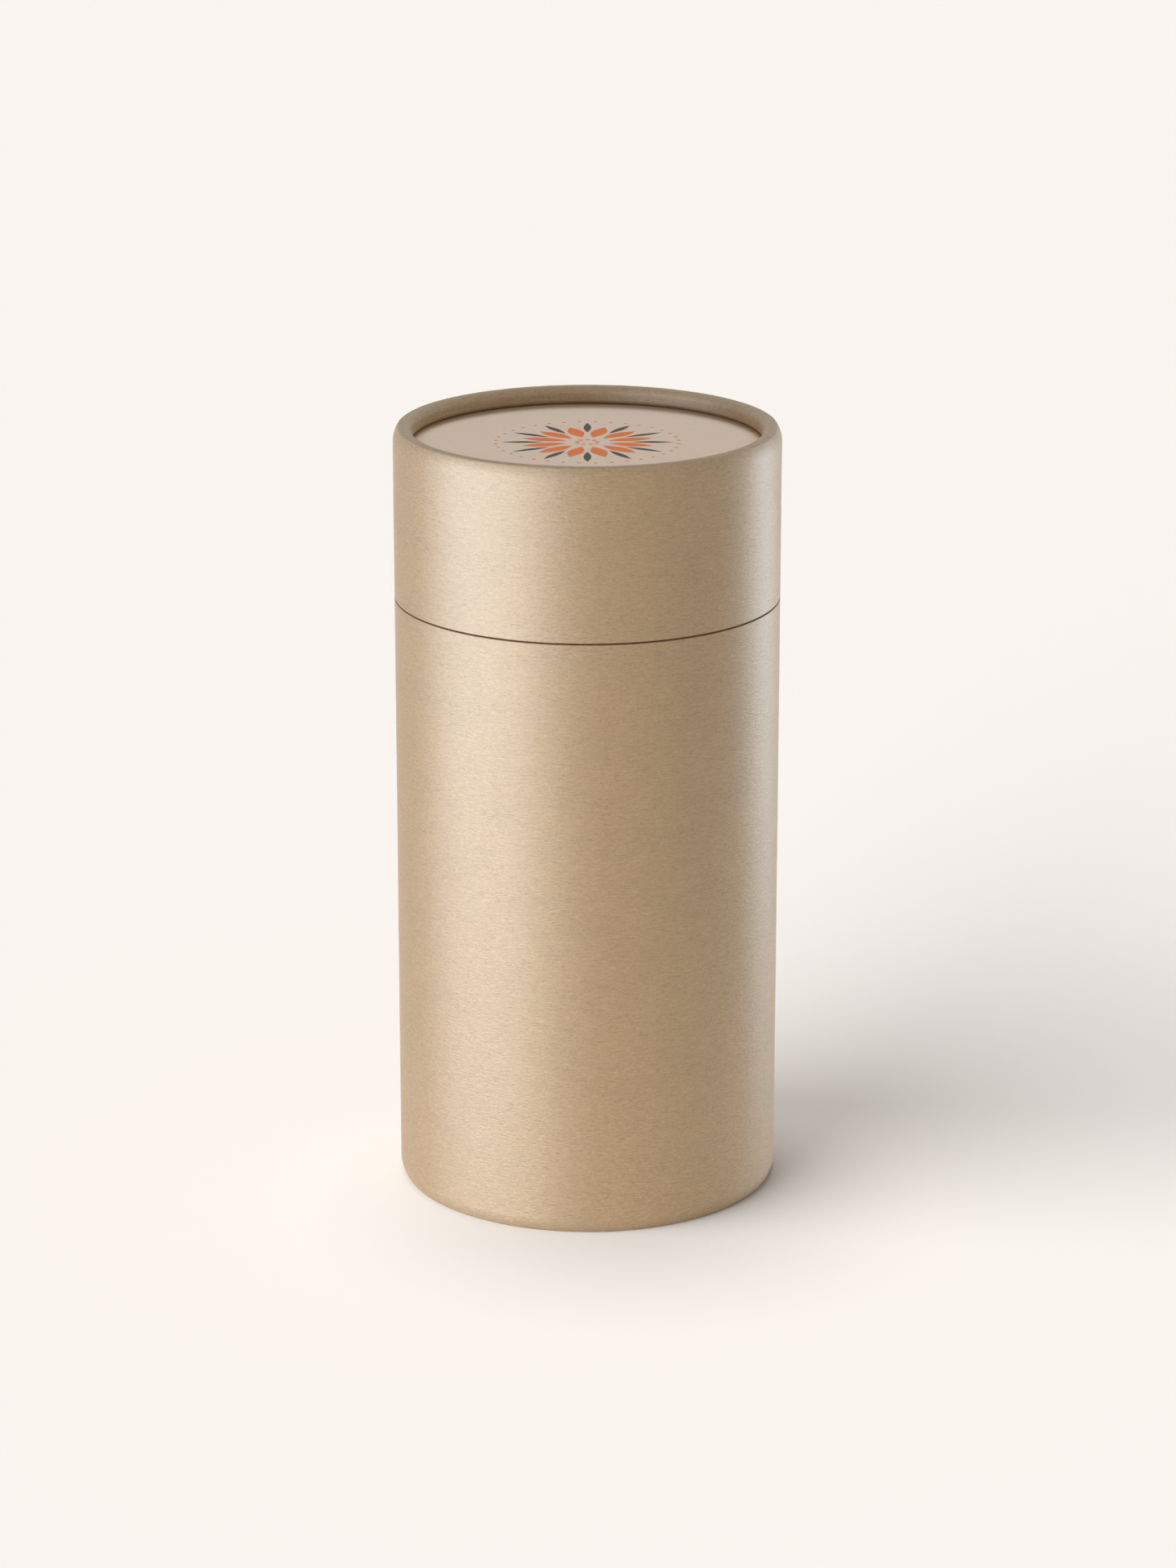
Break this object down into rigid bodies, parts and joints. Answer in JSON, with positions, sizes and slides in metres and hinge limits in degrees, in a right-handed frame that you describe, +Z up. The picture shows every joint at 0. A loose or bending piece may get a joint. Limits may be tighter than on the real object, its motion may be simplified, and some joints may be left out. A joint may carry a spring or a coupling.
{
  "type": "cylindrical gift tube box",
  "caption": "Cylindrical paperboard gift tube with rolled rims, recessed end discs, an inner neck and a flush lid that lifts straight off.",
  "frame": {"origin": "centre of the foot, on the surface that the tube stands on", "axes": "+Z up along the tube, from the foot to the lid; +Y points to the back, where the paper's lap is"},
  "size_m": [0.1, 0.1, 0.2029],
  "materials": {
    "kraft_cover": "natural kraft cover paper, satin, fine horizontal fibres",
    "printed_facing": null,
    "wound_board": "spiral wound board, matt, bare at the cut edges",
    "disc_board": "flat board, matt",
    "inner_disc": "kraft faced board, matt",
    "neck_paper": "brown kraft facing paper, matt, spiral butt seam",
    "lining_paper": "brown kraft lining paper, matt, spiral butt seam"
  },
  "bodies": {
    "base": {"base_tube": "wound_board", "base_wrap": "kraft_cover", "base_lining": "lining_paper", "foot_facing": "kraft_cover", "foot_disc": "disc_board", "floor_disc": "inner_disc", "neck_tube": "wound_board", "neck_facing": "neck_paper", "neck_lining": "lining_paper"},
    "lid": {"lid_tube": "wound_board", "lid_wrap": "kraft_cover", "lid_lining": "lining_paper", "top_facing": "printed_facing", "top_disc": "disc_board", "lid_inner_disc": "inner_disc"}
  },
  "joints": [
    {"name": "lid_lift", "type": "slide", "parent": "base", "child": "lid", "axis": [0, 0, 1], "range_m": [0, 0.2]}
  ]
}
